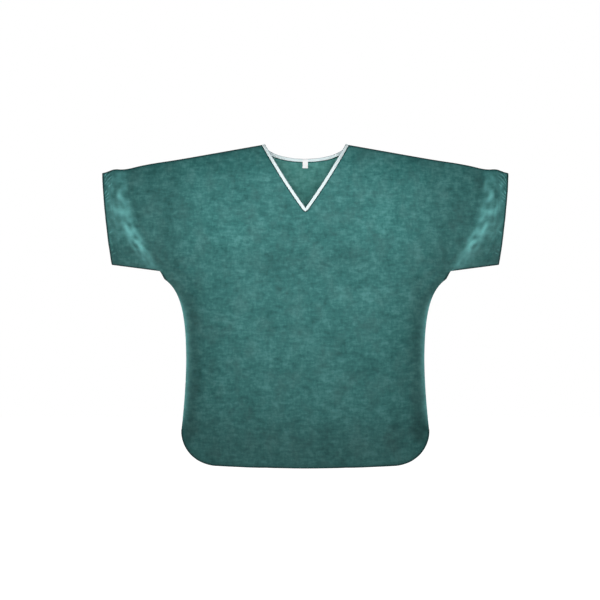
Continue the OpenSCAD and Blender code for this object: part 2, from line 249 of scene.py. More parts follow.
def back_folds(x, z):
    """The back's own forms, in millimetres."""
    low = smooth((-z - 0.50) / 0.22)
    blades = 4.0 * bump(np.abs(x), 0.120, 0.070) * bump(z, -0.150, 0.070)
    spine = 3.0 * bump(x, 0.004, 0.022) * bump(z, -0.22, 0.13)
    waves = 3.0 * low * np.cos(x / 0.019 + 0.6) * bump(x, 0.0, 0.23)
    left_drag = 2.6 * bump(x + 0.25 * (z + 0.40), 0.05, 0.018) * bump(z, -0.42, 0.12)
    right_drag = 2.2 * bump(x - 0.30 * (z + 0.40), -0.08, 0.016) * bump(z, -0.46, 0.11)
    return blades - spine + waves - left_drag - right_drag


SEEDS = {"front": 3.1, "back": 7.7}
OWN_FOLDS = {"front": front_folds, "back": back_folds}
HEM_TILT = 10.0         # millimetres that the cloth goes inwards towards its hem


def relief(x, z, side, seam_gap):
    """What the cloth's folds add to the plain form, in millimetres outwards."""
    seed = SEEDS[side]
    ax = np.abs(x)
    total = 1.7 * noise_field(x, z, 0.120, seed) + 0.9 * noise_field(x, z, 0.055, seed + 5)
    total += 0.30 * noise_field(x, z, 0.024, seed + 9, 1.4)
    where = smooth(noise_field(x, z, 0.2, seed + 2) + 0.6)
    total -= 0.8 * creases(x, z, 0.115, seed + 13, 1.7) * where
    where = smooth(noise_field(x, z, 0.15, seed + 4) + 0.5)
    total -= 0.5 * creases(x, z, 0.070, seed + 17, 0.6) * where
    total += 2.4 * drag_folds(ax, z, seed, side)
    total += OWN_FOLDS[side](x, z)
    total -= HEM_TILT * smooth((-z - 0.60) / 0.15)
    total += sleeve_crumples(x, z, seed)
    total *= smooth(seam_gap / 0.030)
    total += 0.40 * seam_puckers(x, z, seed, seam_gap)
    total += hem_puckers(ax, z, seed)
    return total


def on_sleeve(ax, over):
    """From 0 on the body to 1 on the sleeve."""
    return smooth((ax - SLEEVE_FROM) / over)


def sleeve_crumples(x, z, seed):
    """The loose end of the sleeve, beyond the line where it leaves the body's form."""
    ax = np.abs(x)
    beyond = ax - sheer_line(z)
    loose = smooth(beyond / 0.012) * on_sleeve(ax - 0.005, 0.03)
    own = 0.0 if np.sum(x) > 0 else 1.7     # the two sleeves crumple differently
    long_folds = noise_field(beyond, z, 0.0095, seed + 41 + own, 3.6)
    small_folds = creases(beyond, z, 0.018, seed + 43 + own, 2.0, 1.3, 2)
    valley = bump(beyond, -0.003, 0.006) * on_sleeve(ax, 0.03)
    crest = bump(beyond, 0.014 + 0.012 * smooth((z + 0.20) / 0.10), 0.009)
    return loose * (1.3 * long_folds - 1.5 * small_folds + 2.4 * crest) - 1.8 * valley


def sheer_line(z):
    """How far out the cloth stands clear of the body's form, so that light comes through."""
    q = (z + 0.077) / -0.216
    return 0.4055 - 0.0090 * q - 0.0700 * q * q


def seam_puckers(x, z, seed, seam_gap):
    wave = np.sin((x + z) * 560 + 4 * noise_field(x, z, 0.03, seed + 21))
    return wave * bump(seam_gap, 0, 0.009) * smooth(seam_gap / 0.002)


def cuff_gap(ax, z):
    """Distance inwards from the slanted sleeve end."""
    share = (-z - SHOULDER_DROP) / SLEEVE_OPENING
    return SLEEVE_HALF - SLEEVE_SLANT * share - ax


def pucker_wave(ax, z, seed):
    """The short slanted folds that the sleeve's hem stitching draws up, from -1 to 1."""
    gap = cuff_gap(ax, z)
    high = smooth((z + 0.15) / 0.07)
    slanted = z - (0.6 + 0.5 * high) * gap
    wave = np.sin(slanted * 700 + 8 * noise_field(ax, z, 0.024, seed + 31))
    uneven = np.clip(0.45 + 0.30 * high + 1.2 * noise_field(ax, z, 0.014, seed + 33), 0, 1)
    lasting = bump(gap, 0.010, 0.008 + 0.006 * high)
    return wave * uneven * (0.6 + 0.4 * high) * lasting


def hem_puckers(ax, z, seed):
    below = line_distance(ax, z, resample(HEM, 0.02))
    wave = np.sin(ax * 430 + 5 * noise_field(ax, z, 0.04, seed + 35))
    return 0.62 * pucker_wave(ax, z, seed) + 0.28 * wave * bump(below, 0.007, 0.007)


def height(x, z, side):
    """Distance of the cloth's outer face from the seam plane, in metres."""
    ax = np.abs(x)
    to_shoulder = line_distance(ax, z, SHOULDER)
    to_side = line_distance(ax, z, COARSE_EDGE)
    a = np.maximum(rise(to_shoulder), 1e-3)
    b = np.maximum(rise(to_side), 1e-3)
    share = fullness(ax) * (a ** -BLEND_POWER + b ** -BLEND_POWER) ** (-1 / BLEND_POWER)
    seam_gap = np.minimum(to_shoulder, to_side)
    plain = SEAM_Y + CLOTH_T + SWELL * smooth(share * 7) + DEPTH[side] * np.maximum(0, share - 0.002)
    return plain + MM * relief(x, z, side, seam_gap)


def surface(x, z, side):
    """Points of the outer face and its outward normals, by small differences."""
    x, z = np.asarray(x, float), np.asarray(z, float)
    d = 0.4 * MM
    n = len(x)
    h = height(np.r_[x, x + d, x], np.r_[z, z, z + d], side)
    here, right, above = h[:n], h[n:2 * n], h[2 * n:]
    out = OUTWARD[side]
    points = np.stack([x, out * here, z], axis=1)
    normals = unit(np.stack([-(right - here) / d, np.full(n, out), -(above - here) / d], axis=1))
    return points, normals


# ---- meshes ----

def new_mesh(name, points, faces, materials, slots=None):
    mesh = bpy.data.meshes.new(name)
    mesh.from_pydata(np.asarray(points).tolist(), [], faces)
    for material in materials:
        mesh.materials.append(material)
    if slots is not None:
        mesh.polygons.foreach_set("material_index", np.asarray(slots, np.int32))
    mesh.polygons.foreach_set("use_smooth", np.ones(len(mesh.polygons), bool))
    obj = bpy.data.objects.new(name, mesh)
    bpy.context.scene.collection.objects.link(obj)
    return obj


def set_vectors(obj, name, values):
    data = obj.data.attributes.new(name, "FLOAT_VECTOR", "POINT")
    data.data.foreach_set("vector", np.asarray(values, np.float32).ravel())


def set_floats(obj, name, values):
    data = obj.data.attributes.new(name, "FLOAT", "POINT")
    data.data.foreach_set("value", np.asarray(values, np.float32))


def in_fine_zone(x, z, side):
    by_neck = line_distance(x, z, resample(NECK[side], 0.008)) < NECK_ZONE
    return (cuff_gap(x, z) < FINE_ZONE) | by_neck


def plan_edge(side):
    """The outline of one half: neck, shoulder, sleeve end, side, hem and middle."""
    neck = resample(NECK[side], FINE_STEP)
    runs = [neck, resample(SHOULDER, EDGE_STEP), resample(CUFF, FINE_STEP),
            resample(EDGE[::-1], EDGE_STEP), resample(HEM[::-1], EDGE_STEP),
            resample([(0.0, -LENGTH), tuple(neck[0])], EDGE_STEP)]
    return np.concatenate([run[:-1] for run in runs])


def plan_inside(side, edge):
    """Points in staggered rows, closer together where the cloth puckers."""
    tree = KDTree(len(edge))
    for i, p in enumerate(edge):
        tree.insert((p[0], p[1], 0.0), i)
    tree.balance()
    inside = []
    for step, fine in ((STEP, False), (FINE_STEP, True)):
        for row in range(int(LENGTH / (step * ROW_SHARE)) + 1):
            z = -row * step * ROW_SHARE
            x = np.arange(step * (0.5 if row % 2 else 0.0), SLEEVE_HALF, step)
            x = x[in_fine_zone(x, z, side) == fine]
            inside += [(a, z) for a in x if tree.find((a, z, 0.0))[2] > CLEAR_SHARE * step]
    return inside


def half_plan(side):
    """Flat triangles over one half of a layer; its edge points come first, in order."""
    edge = plan_edge(side)
    flat = [Vector(p) for p in edge] + [Vector(p) for p in plan_inside(side, edge)]
    count = len(edge)
    found = delaunay_2d_cdt(flat, [], [list(range(count))], 1, 1e-9)
    points = np.array([tuple(p) for p in found[0]])
    tris = np.array([list(f) for f in found[2]])
    used = np.unique(np.r_[np.arange(count), tris.ravel()])
    renumber = np.full(len(points), -1)
    renumber[used] = np.arange(len(used))
    a, b, c = (points[tris[:, k]] for k in range(3))
    turned = np.cross(b - a, c - a) > 0
    tris = np.where(turned[:, None], tris, tris[:, ::-1])
    centre = np.arange(count)[points[:count, 0] < 1e-9]
    return points[used], renumber[tris], count, centre


def corner_normals(points, tris):
    """The sum of the triangles' normals at each point, larger ones counting for more."""
    a, b, c = (points[tris[:, k]] for k in range(3))
    face = np.cross(b - a, c - a)
    total = np.zeros_like(points)
    for k in range(3):
        np.add.at(total, tris[:, k], face)
    return total


def cloth_layer(side):
    """The two halves of a layer: closed thin shells that meet along the middle."""
    plan, tris, count, centre = half_plan(side)
    halves = {}
    for hand, sign in HAND.items():
        x = plan[:, 0] * sign
        z = plan[:, 1]
        points = np.stack([x, OUTWARD[side] * height(x, z, side), z], axis=1)
        faces = tris if sign * OUTWARD[side] < 0 else tris[:, ::-1]
        halves[hand] = [points, faces, corner_normals(points, faces)]
    shared = halves["left"][2][centre] + halves["right"][2][centre]
    made = {}
    for hand, (points, faces, normals) in halves.items():
        normals[centre] = shared
        made[hand] = thin_shell(f"{side}_cloth_{hand}", points, faces, unit(normals), count)
    return made


def thin_shell(name, points, faces, normals, count):
    """A layer of cloth with its thickness: outer face, inner face and edge."""
    n = len(points)
    inner = points - normals * CLOTH_T
    loop = np.arange(count)
    after = np.roll(loop, -1)
    if edge_runs_with(faces, 0, 1):
        loop, after = after, loop
    rim = np.stack([loop, after, after + n, loop + n], axis=1)
    all_points = np.concatenate([points, inner])
    polygons = faces.tolist() + (faces[:, ::-1] + n).tolist() + rim.tolist()
    slots = np.r_[np.zeros(len(faces)), np.ones(len(faces)), np.zeros(count)]
    obj = new_mesh(name, all_points, polygons, [CLOTH, LIT_CLOTH_INSIDE], slots)
    a, b, d = all_points[rim[:, 0]], all_points[rim[:, 1]], all_points[rim[:, 3]]
    rim_normals = unit(np.cross(b - a, d - a))
    corners = np.concatenate([
        normals[faces.ravel()], -normals[faces[:, ::-1].ravel()], np.repeat(rim_normals, 4, axis=0)])
    obj.data.normals_split_custom_set(corners.tolist())
    x, z = points[:, 0], points[:, 2]
    apart = 0.0 if name.startswith("front") else 2.0    # front and back are different cloth
    cut = np.stack([x, z, np.full(n, apart)], axis=1)
    set_vectors(obj, "cut", np.concatenate([cut, cut]))
    # painted light, laps with a painted shadow, and painted light and shade, for the cloth's material
    for key, values in (("painted_light", painted_light_amount(np.abs(x), z)), ("lap_and_shade", laps_and_shade(np.abs(x), z, name)),
                        ("shade", shading(np.abs(x), z))):
        set_floats(obj, key, np.r_[values, values])
    return obj


def edge_runs_with(faces, i, j):
    """Whether a triangle goes from edge point i straight to j."""
    following = np.roll(faces, -1, axis=1)
    return bool(np.any((faces == i) & (following == j)))


def painted_light_amount(ax, z):
    """Painted light: where one thin layer stands clear of everything behind it, the light that comes
    through, with painted highlights on the sleeve hem's puckers and a painted light strip along the
    body's sides.
    """
    beyond = ax - sheer_line(z)
    zone = smooth(beyond / 0.010) * on_sleeve(ax, 0.025)
    lower = smooth((-z - 0.08) / 0.12)
    middle = 0.019 + 0.010 * (1 - lower) + 0.004 * noise_field(ax, z, 0.03, 51.0)
    streak = bump(beyond, middle, 0.010 + 0.004 * lower) * on_sleeve(ax, 0.02)
    broken = np.clip(0.55 + 1.3 * noise_field(beyond, z, 0.011, 52.0, 1.6), 0, 1)
    patchy = np.clip(0.35 + 1.4 * noise_field(beyond, z, 0.013, 53.0, 1.4), 0, 1)
    cloud = bump(beyond, 0.028, 0.020) * bump(z, -0.150, 0.055)
    bright = 0.42 * lower + 0.55 * bump(z, -0.225, 0.030)
    # painted highlights on the pucker crests
    strokes = smooth(2.4 * pucker_wave(ax, z, SEEDS["front"]) - 0.5)
    # painted light strip along the body's sides
    side = np.exp(-line_distance(ax, z, COARSE_EDGE) / 0.0045)
    side = side * smooth((-z - 0.33) / 0.05) * smooth((z + 0.66) / 0.06)
    dull = 1 - smooth((beyond - 0.026) / 0.020) * smooth((-z - 0.20) / 0.04)
    shine = 0.05 * zone + 0.20 * zone * patchy + 0.55 * cloud * patchy
    shine += (0.08 + bright) * streak * broken
    return np.clip(shine * dull + 0.65 * strokes + 1.6 * side, 0, 1)


def shading(ax, z):
    """Painted light and shade in the cloth's colour: less light towards the sides, the hem and the
    sleeve ends, more on the chest and the loose sleeve ends, and a darker band across the chest.
    """
    to_side = line_distance(ax, z, COARSE_EDGE)
    body = smooth((-z - 0.30) / 0.07)
    level = 1 - 0.16 * smooth((-z - 0.59) / 0.11) - 0.15 * smooth((ax - 0.25) / 0.06)
    level += 0.09 * smooth((ax - sheer_line(z)) / 0.01) * on_sleeve(ax, 0.02)
    level -= 0.28 * body * bump(to_side, 0.022, 0.020)
    corner = smooth((z + 0.105) / 0.035) + 0.7 * smooth((-z - 0.225) / 0.03)
    level -= 0.20 * corner * bump(cuff_gap(ax, z), 0.006, 0.016)
    level += 0.13 * bump(ax, 0.185, 0.065) * bump(z, -0.180, 0.070)
    return level - 0.09 * bump(ax, 0.0, 0.23) * bump(z, BAND_Z, 0.035)


def within(distance, width, fade):
    """1 up to a width from a line, fading to 0 past it."""
    return 1 - smooth((distance - width) / fade)


def laps_and_shade(ax, z, name):
    """Where the cloth is double, at hems and seam allowances, and a painted shadow beside the neck
    tape; above 1 at its darkest rim and in that shadow.
    """
    side = "front" if name.startswith("front") else "back"
    to_hem = line_distance(ax, z, resample(HEM, 0.01))
    to_shoulder = line_distance(ax, z, SHOULDER)
    to_neck = line_distance(ax, z, resample(NECK[side], 0.004))
    to_underarm = line_distance(ax, z, COARSE_EDGE[COARSE_EDGE[:, 0] > SLEEVE_FROM])
    gap = np.minimum.reduce([to_shoulder, to_hem, to_underarm, cuff_gap(ax, z)])
    cuff = within(cuff_gap(ax, z), CUFF_WIDTH, 0.004)
    hem = within(to_hem, HEM_WIDTH, 0.0015)
    shoulder = within(to_shoulder, SEAM_WIDTH, 0.0015)
    seam = within(line_distance(ax, z, COARSE_EDGE), SEAM_WIDTH, 0.0015)
    # painted contact shadow on the cloth beside the neck tape
    shade = within(to_neck, TAPE_WIDTHS[side] + 0.0010, 0.0030)
    rim = 2.5 * within(gap, 0, 0.0065)
    return np.maximum.reduce([0.35 * cuff, hem, 0.6 * shoulder, 0.35 * seam, 2.0 * shade, rim])


def swept(name, rings, material, cut, sharp=50):
    """A solid through rings of points (n, k, 3); each ring is a closed section."""
    n, k = rings.shape[:2]
    points = rings.reshape(-1, 3)
    faces = []
    for i in range(n - 1):
        a, b = i * k, (i + 1) * k
        for j in range(k):
            m = (j + 1) % k
            faces.append((a + j, a + m, b + m, b + j))
    faces.append(tuple(range(k - 1, -1, -1)))
    faces.append(tuple(range((n - 1) * k, n * k)))
    obj = new_mesh(name, points, faces, [material])
    set_vectors(obj, "cut", cut)
    tidy(obj, sharp)
    return obj


def tidy(obj, sharp):
    """Faces turned outwards, and sharp edges above an angle in degrees."""
    work = bmesh.new()
    work.from_mesh(obj.data)
    bmesh.ops.recalc_face_normals(work, faces=work.faces)
    work.to_mesh(obj.data)
    work.free()
    obj.data.set_sharp_from_angle(angle=math.radians(sharp))


def inward(path):
    """Unit vectors in the (x, z) plane square to a path, to the right of its travel."""
    d = unit(np.gradient(path, axis=0))
    return np.stack([d[:, 1], -d[:, 0]], axis=1)


def strip_cut(path, section):
    """Places on a strip for its material: along the path, across it, and in its thickness."""
    n, k = len(path), len(section)
    along = np.repeat(arc_lengths(path), k)
    return np.stack([along, np.tile(section[:, 0], n), np.tile(section[:, 1], n)], axis=1)


def band_rings(path, into, section, side, hand):
    """Rings over a cloth edge. section holds (distance inwards, height over the outer face)."""
    section = np.asarray(section)
    n, k = len(path), len(section)
    flat = path[:, None, :] + into[:, None, :] * section[None, :, :1]
    flat = flat.reshape(-1, 2)
    points, normals = surface(flat[:, 0] * HAND[hand], flat[:, 1], side)
    rings = points + normals * np.tile(section[:, 1], n)[:, None]
    return rings.reshape(n, k, 3), strip_cut(path, section)


LEAF_UNDER = CLOTH_T + 0.12 * MM
LEAF_T = 0.42 * MM
LEAF_LIP = 0.5 * MM
OVER_CLOTH = 0.10 * MM                          # heights of the two sides of a hem's stitches
UNDER_LEAF = -LEAF_UNDER - LEAF_T - 0.08 * MM
HEM_STITCH = 3.0 * MM


def folded_section(reach, steps):
    """A turned-up edge: a leaf inside the cloth and a small round fold over its raw edge."""
    s = np.linspace(0.6 * MM, reach, steps)
    radius = (LEAF_UNDER + LEAF_T) / 2 + 0.05 * MM
    middle = -(LEAF_UNDER + LEAF_T) / 2
    a = np.linspace(-math.pi / 2, math.pi / 2, 7)
    fold = [(0.2 * MM - radius * math.cos(t), middle + radius * math.sin(t)) for t in a]
    inner = [(d, -LEAF_UNDER - LEAF_T) for d in s[::-1]]
    top = [(LEAF_LIP, 0.03 * MM), (LEAF_LIP, -0.02 * MM)]
    back = [(0.4 * MM, -LEAF_UNDER + 0.02 * MM)] + [(d, -LEAF_UNDER) for d in s]
    return inner + fold + top + back


def stitch(points, faces, start, end, up, width, thick):
    """One stitch: a small rounded bar of thread between two points."""
    base = len(points)
    ahead = end - start
    across = unit(np.cross(ahead, up))
    for share, size in ((0.0, 0.35), (0.18, 1.0), (0.82, 1.0), (1.0, 0.35)):
        middle = start + ahead * share
        for k in range(6):
            a = k * math.pi / 3
            offset = across * math.cos(a) * width / 2 + up * math.sin(a) * thick / 2
            points.append(middle + offset * size)
    for ring in range(3):
        for k in range(6):
            a, b = base + ring * 6 + k, base + ring * 6 + (k + 1) % 6
            faces.append((a, b, b + 6, a + 6))
    faces.append(tuple(base + k for k in range(5, -1, -1)))
    faces.append(tuple(base + 18 + k for k in range(6)))


def stitch_rows(name, rows, material, pitch, share=0.78, width=0.55 * MM, thick=0.32 * MM):
    """Rows of separate stitches. Each row is (points, upward normals)."""
    points, faces = [], []
    for line, ups in rows:
        along = arc_lengths(line)
        count = max(1, int(along[-1] / pitch))
        starts = np.linspace(0, along[-1], count + 1)[:-1]
        gap = along[-1] / count
        for s in starts:
            ends = [s + 0.1 * gap, s + (0.1 + share) * gap]
            a, b = (np.array([np.interp(e, along, line[:, k]) for k in range(3)]) for e in ends)
            up = unit([np.interp(s + gap / 2, along, ups[:, k]) for k in range(3)])
            stitch(points, faces, a, b, up, width, thick)
    return threads_of(name, points, faces, material)


def threads_of(name, points, faces, material):
    obj = new_mesh(name, np.array(points), faces, [material])
    set_vectors(obj, "cut", np.array(points))
    return obj


def row_on(path, into, distance, over, side, hand, ends=(0, None)):
    """A line at a distance inwards from a cloth edge, over (or under) the outer face."""
    flat = (path + into * distance)[ends[0]:ends[1]]
    flat = resample(flat, 2.0 * MM)
    points, normals = surface(flat[:, 0] * HAND[hand], flat[:, 1], side)
    return points + normals * over, normals


# ---- materials ----

class Nodes:
    """Builds the nodes of a material, or of a world, one by one."""

    def __init__(self, name, kind=bpy.data.materials):
        self.owner = kind.new(name)
        self.owner.use_nodes = True
        self.tree = self.owner.node_tree
        self.shader = self.tree.nodes.get("Principled BSDF")

    def add(self, kind, **settings):
        node = self.tree.nodes.new("ShaderNode" + kind)
        for key, value in settings.items():
            setattr(node, key, value)
        return node

    def link(self, source, target):
        self.tree.links.new(source, target)

    def put(self, socket, value):
        if isinstance(value, bpy.types.NodeSocket):
            self.link(value, socket)
        else:
            socket.default_value = value

    def attribute(self, name, output="Fac"):
        node = self.add("Attribute", attribute_type="GEOMETRY", attribute_name=name)
        return node.outputs[output]

    def parts(self, vector):
        node = self.add("SeparateXYZ")
        self.link(vector, node.inputs[0])
        return node.outputs

    def scaled(self, vector, scale):
        node = self.add("VectorMath", operation="MULTIPLY")
        self.link(vector, node.inputs[0])
        node.inputs[1].default_value = scale
        return node.outputs[0]

    def noise(self, vector, scale, detail=3.0, rough=0.55, distortion=0.0):
        node = self.add("TexNoise")
        self.link(vector, node.inputs["Vector"])
        for key, value in (("Scale", scale), ("Detail", detail), ("Roughness", rough),
                           ("Distortion", distortion)):
            node.inputs[key].default_value = value
        return node.outputs["Fac"]

    def maths(self, operation, a, b=0.0, c=0.0):
        node = self.add("Math", operation=operation)
        for socket, value in zip(node.inputs, (a, b, c)):
            self.put(socket, value)
        return node.outputs[0]

    def total(self, *parts):
        """The sum of values, each times its share."""
        result = 0.0
        for value, share in parts:
            result = self.maths("MULTIPLY_ADD", value, share, result)
        return result

    def remap(self, value, low, high, to_low=0.0, to_high=1.0):
        node = self.add("MapRange")
        for name, v in (("Value", value), ("From Min", low), ("From Max", high),
                        ("To Min", to_low), ("To Max", to_high)):
            self.put(node.inputs[name], v)
        return node.outputs[0]

    def blend(self, factor, a, b, mode="MIX"):
        node = self.add("Mix", data_type="RGBA", blend_type=mode)
        self.put(node.inputs[0], factor)
        for socket, value in ((node.inputs[6], a), (node.inputs[7], b)):
            self.put(socket, value)
        return node.outputs[2]

    def bumped(self, height_value, strength, distance, normal=None):
        node = self.add("Bump")
        node.inputs["Strength"].default_value = strength
        node.inputs["Distance"].default_value = distance
        self.link(height_value, node.inputs["Height"])
        if normal is not None:
            self.link(normal, node.inputs["Normal"])
        return node.outputs["Normal"]

    def finish(self, colour, roughness, normal, sheen=0.0, specular=0.3):
        self.put(self.shader.inputs["Base Color"], colour)
        self.put(self.shader.inputs["Roughness"], roughness)
        if normal is not None:
            self.link(normal, self.shader.inputs["Normal"])
        self.shader.inputs["Sheen Weight"].default_value = sheen
        self.shader.inputs["Sheen Roughness"].default_value = 0.5
        self.shader.inputs["Specular IOR Level"].default_value = specular
        return self.owner


def rgb(red, green, blue):
    """Display values from 0 to 255 as a linear colour."""
    def linear(v):
        v = v / 255
        return v / 12.92 if v <= 0.04045 else ((v + 0.055) / 1.055) ** 2.4
    return (linear(red), linear(green), linear(blue), 1.0)


BOND_PITCH = 1.9 * MM   # spacing of the small welded points in the nonwoven cloth


def fibres(m, cut):
    """How uneven the cloth is: large clouds, the fine web of fibres, and the two together."""
    patches = m.noise(m.scaled(cut, (1.0, 0.8, 1.0)), 9.0, 2.0, 0.5, 0.2)
    clouds = m.noise(cut, 30.0, 4.0, 0.6, 0.2)
    mottle = m.noise(m.scaled(cut, (0.7, 1.0, 1.0)), 80.0, 3.0, 0.6, 0.2)
    streaks = m.noise(m.scaled(cut, (0.35, 1.0, 1.0)), 170.0, 3.0, 0.55, 0.3)
    upright = m.noise(m.scaled(cut, (1.0, 0.40, 1.0)), 170.0, 3.0, 0.55, 0.3)
    web = m.maths("ADD", m.maths("MULTIPLY", streaks, 0.55), m.maths("MULTIPLY", upright, 0.45))
    tone = m.total((patches, 0.16), (clouds, 0.24), (mottle, 0.24), (web, 0.36))
    return clouds, web, tone


def nonwoven(name, dark, middle, light, grey, deep, painted_light_colour, lap_and_shade_share):
    """Spunbonded cloth: cloudy fibres, a fine grain and rows of small welded points, with the painted
    light and shade that the mesh's attributes carry.
    """
    m = Nodes(name)
    cut = m.attribute("cut", "Vector")
    clouds, web, tone = fibres(m, cut)
    colour = m.blend(m.remap(tone, 0.40, 0.50), dark, middle)
    colour = m.blend(m.remap(tone, 0.50, 0.60), colour, light)
    worn = m.remap(m.noise(m.scaled(cut, (1.0, 0.7, 1.0)), 22.0, 3.0, 0.6), 0.48, 0.66, 0.0, 0.20)
    colour = m.blend(worn, colour, grey)
    # painted light and shade: the colour times the mesh's shade attribute
    colour = m.blend(1.0, colour, m.attribute("shade"), "MULTIPLY")
    # painted light: light coming through the cloth, glints on the sleeve hem's puckers and strips
    # along the sides, towards a light teal
    painted_light = m.attribute("painted_light")
    uneven = m.remap(m.noise(cut, 60.0, 4.0, 0.6), 0.35, 0.65, 0.75, 1.15)
    colour = m.blend(m.maths("MULTIPLY", painted_light, uneven), colour, painted_light_colour)
    # darker where the cloth is double; the painted shadow beside the neck tape and the darkest rims
    # go to the deep colour
    lap_and_shade = m.attribute("lap_and_shade")
    colour = m.blend(m.maths("MULTIPLY", lap_and_shade, lap_and_shade_share), colour, dark)
    colour = m.blend(m.remap(lap_and_shade, 1.0, 2.0), colour, deep)
    dots = bond_points(m, cut)
    colour = m.blend(m.maths("MULTIPLY", dots, 0.22), colour, dark)
    rough = m.remap(web, 0.3, 0.7, 0.70, 0.88)
    normal = m.bumped(web, 0.45, 0.5 * MM)
    normal = m.bumped(clouds, 0.30, 0.8 * MM, normal)
    normal = m.bumped(m.maths("SUBTRACT", 1.0, dots), 0.30, 0.12 * MM, normal)
    return m.finish(colour, rough, normal, sheen=0.03, specular=0.28)


def bond_points(m, cut):
    """Small oval dots in staggered rows, from 0 to 1."""
    across, up = m.parts(cut)[:2]
    turn = math.pi / BOND_PITCH
    u = m.maths("ADD", across, up)
    v = m.maths("SUBTRACT", across, up)
    a = m.maths("SINE", m.maths("MULTIPLY", u, turn))
    b = m.maths("SINE", m.maths("MULTIPLY", v, turn))
    grid = m.maths("ABSOLUTE", m.maths("MULTIPLY", a, b))
    return m.remap(grid, 0.62, 0.86)


def knitted_tape(name, base, shade, fold, ribs):
    """White folded tape with fine slanted ribs, and painted shade that greys it round the fold."""
    m = Nodes(name)
    cut = m.attribute("cut", "Vector")
    along, reach = m.parts(cut)[:2]
    slant = m.maths("ADD", along, m.maths("MULTIPLY", reach, 0.9))
    wobble = m.maths("MULTIPLY", m.noise(cut, 500.0, 2.0), 0.8 * MM)
    wave = m.maths("SINE", m.maths("MULTIPLY", m.maths("ADD", slant, wobble), 2 * math.pi / ribs))
    rib = m.remap(wave, -1.0, 1.0)
    yarn = m.noise(cut, 1500.0, 3.0, 0.7)
    soft = m.noise(cut, 60.0, 3.0, 0.5)
    colour = m.blend(m.maths("MULTIPLY", m.maths("SUBTRACT", 1.0, rib), 0.40), base, shade)
    colour = m.blend(m.remap(soft, 0.45, 0.75, 0.0, 0.35), colour, shade)
    # painted shade where the tape turns round its fold
    fold_shade = m.remap(reach, 0.2 * MM, -0.8 * MM, 0.0, 0.85)
    colour = m.blend(fold_shade, colour, fold)
    rough = m.remap(yarn, 0.3, 0.7, 0.75, 0.92)
    normal = m.bumped(rib, 0.55, 0.25 * MM)
    normal = m.bumped(yarn, 0.35, 0.15 * MM, normal)
    return m.finish(colour, rough, normal, sheen=0.08, specular=0.2)


def spun_thread(name, base, shade):
    """Two-colour twisted thread."""
    m = Nodes(name)
    cut = m.attribute("cut", "Vector")
    ply = m.noise(m.scaled(cut, (1.0, 1.0, 3.0)), 1800.0, 2.0, 0.6)
    colour = m.blend(m.remap(ply, 0.35, 0.65), shade, base)
    rough = m.remap(ply, 0.3, 0.7, 0.5, 0.7)
    normal = m.bumped(ply, 0.5, 0.12 * MM)
    return m.finish(colour, rough, normal, sheen=0.05, specular=0.35)


def woven_label(name, base, shade):
    """A small satin label: fine crossing yarns."""
    m = Nodes(name)
    cut = m.attribute("cut", "Vector")
    across, along = m.parts(cut)[:2]
    warp = m.maths("SINE", m.maths("MULTIPLY", across, 2 * math.pi / (0.35 * MM)))
    weft = m.maths("SINE", m.maths("MULTIPLY", along, 2 * math.pi / (0.45 * MM)))
    weave = m.remap(m.maths("MULTIPLY", warp, weft), -1.0, 1.0)
    soft = m.noise(cut, 120.0, 3.0, 0.5)
    colour = m.blend(m.maths("MULTIPLY", weave, 0.18), base, shade)
    colour = m.blend(m.remap(soft, 0.5, 0.8, 0.0, 0.25), colour, shade)
    rough = m.remap(weave, 0.0, 1.0, 0.42, 0.6)
    normal = m.bumped(weave, 0.35, 0.10 * MM)
    return m.finish(colour, rough, normal, sheen=0.05, specular=0.35)


GREY = rgb(78, 116, 114)
DEEP = rgb(20, 58, 58)
# rgb(122, 204, 202) here is painted light coming through the cloth
CLOTH = nonwoven("cloth_outside", rgb(30, 92, 90), rgb(53, 118, 115), rgb(80, 144, 141),
                 GREY, DEEP, rgb(122, 204, 202), 0.45)
# a lighter copy of the cloth for its inner faces: painted light
LIT_CLOTH_INSIDE = nonwoven("lit_cloth_inside", rgb(46, 105, 100), rgb(66, 131, 125), rgb(90, 155, 148),
                        rgb(84, 132, 126), DEEP, rgb(120, 192, 188), 0.35)
HEM_CLOTH = nonwoven("hem_cloth", rgb(20, 60, 59), rgb(34, 82, 80), rgb(52, 104, 101),
                     rgb(46, 84, 83), DEEP, rgb(58, 114, 111), 0.3)
THREAD = spun_thread("teal_thread", rgb(66, 118, 115), rgb(40, 84, 83))
# rgb(128, 142, 150) is painted shade round the tape's fold
TAPE = knitted_tape("white_tape", rgb(243, 255, 255), rgb(210, 236, 242), rgb(128, 142, 150),
                    1.5 * MM)
WHITE_THREAD = spun_thread("white_thread", rgb(248, 252, 253), rgb(210, 224, 228))
LABEL = woven_label("white_label", rgb(253, 254, 254), rgb(232, 238, 240))


def plain_extras(obj):
    """The attributes that the cloth's material reads, on a trim piece."""
    for name, value in (("painted_light", 0.0), ("lap_and_shade", 0.0), ("shade", 1.0)):
        set_floats(obj, name, np.full(len(obj.data.vertices), value))


# ---- camera, lights and stage ----

VIEW_DISTANCE = 4.0
VIEW_WIDTH = 1.38
VIEW_X, VIEW_Z = -0.0122, -0.3577
SENSOR = 36.0
FLOOR_HALF = 9.0
FLOOR_DROP = 0.50


def look_at(obj, target):
    obj.rotation_euler = (Vector(target) - obj.location).to_track_quat("-Z", "Y").to_euler()


def make_camera():
    lens = bpy.data.cameras.new("camera")
    lens.sensor_width = SENSOR
    lens.lens = SENSOR * VIEW_DISTANCE / VIEW_WIDTH
    camera = bpy.data.objects.new("camera", lens)
    camera.location = (VIEW_X, -VIEW_DISTANCE, VIEW_Z)
    camera.rotation_euler = (math.pi / 2, 0, 0)
    bpy.context.scene.collection.objects.link(camera)
    bpy.context.scene.camera = camera


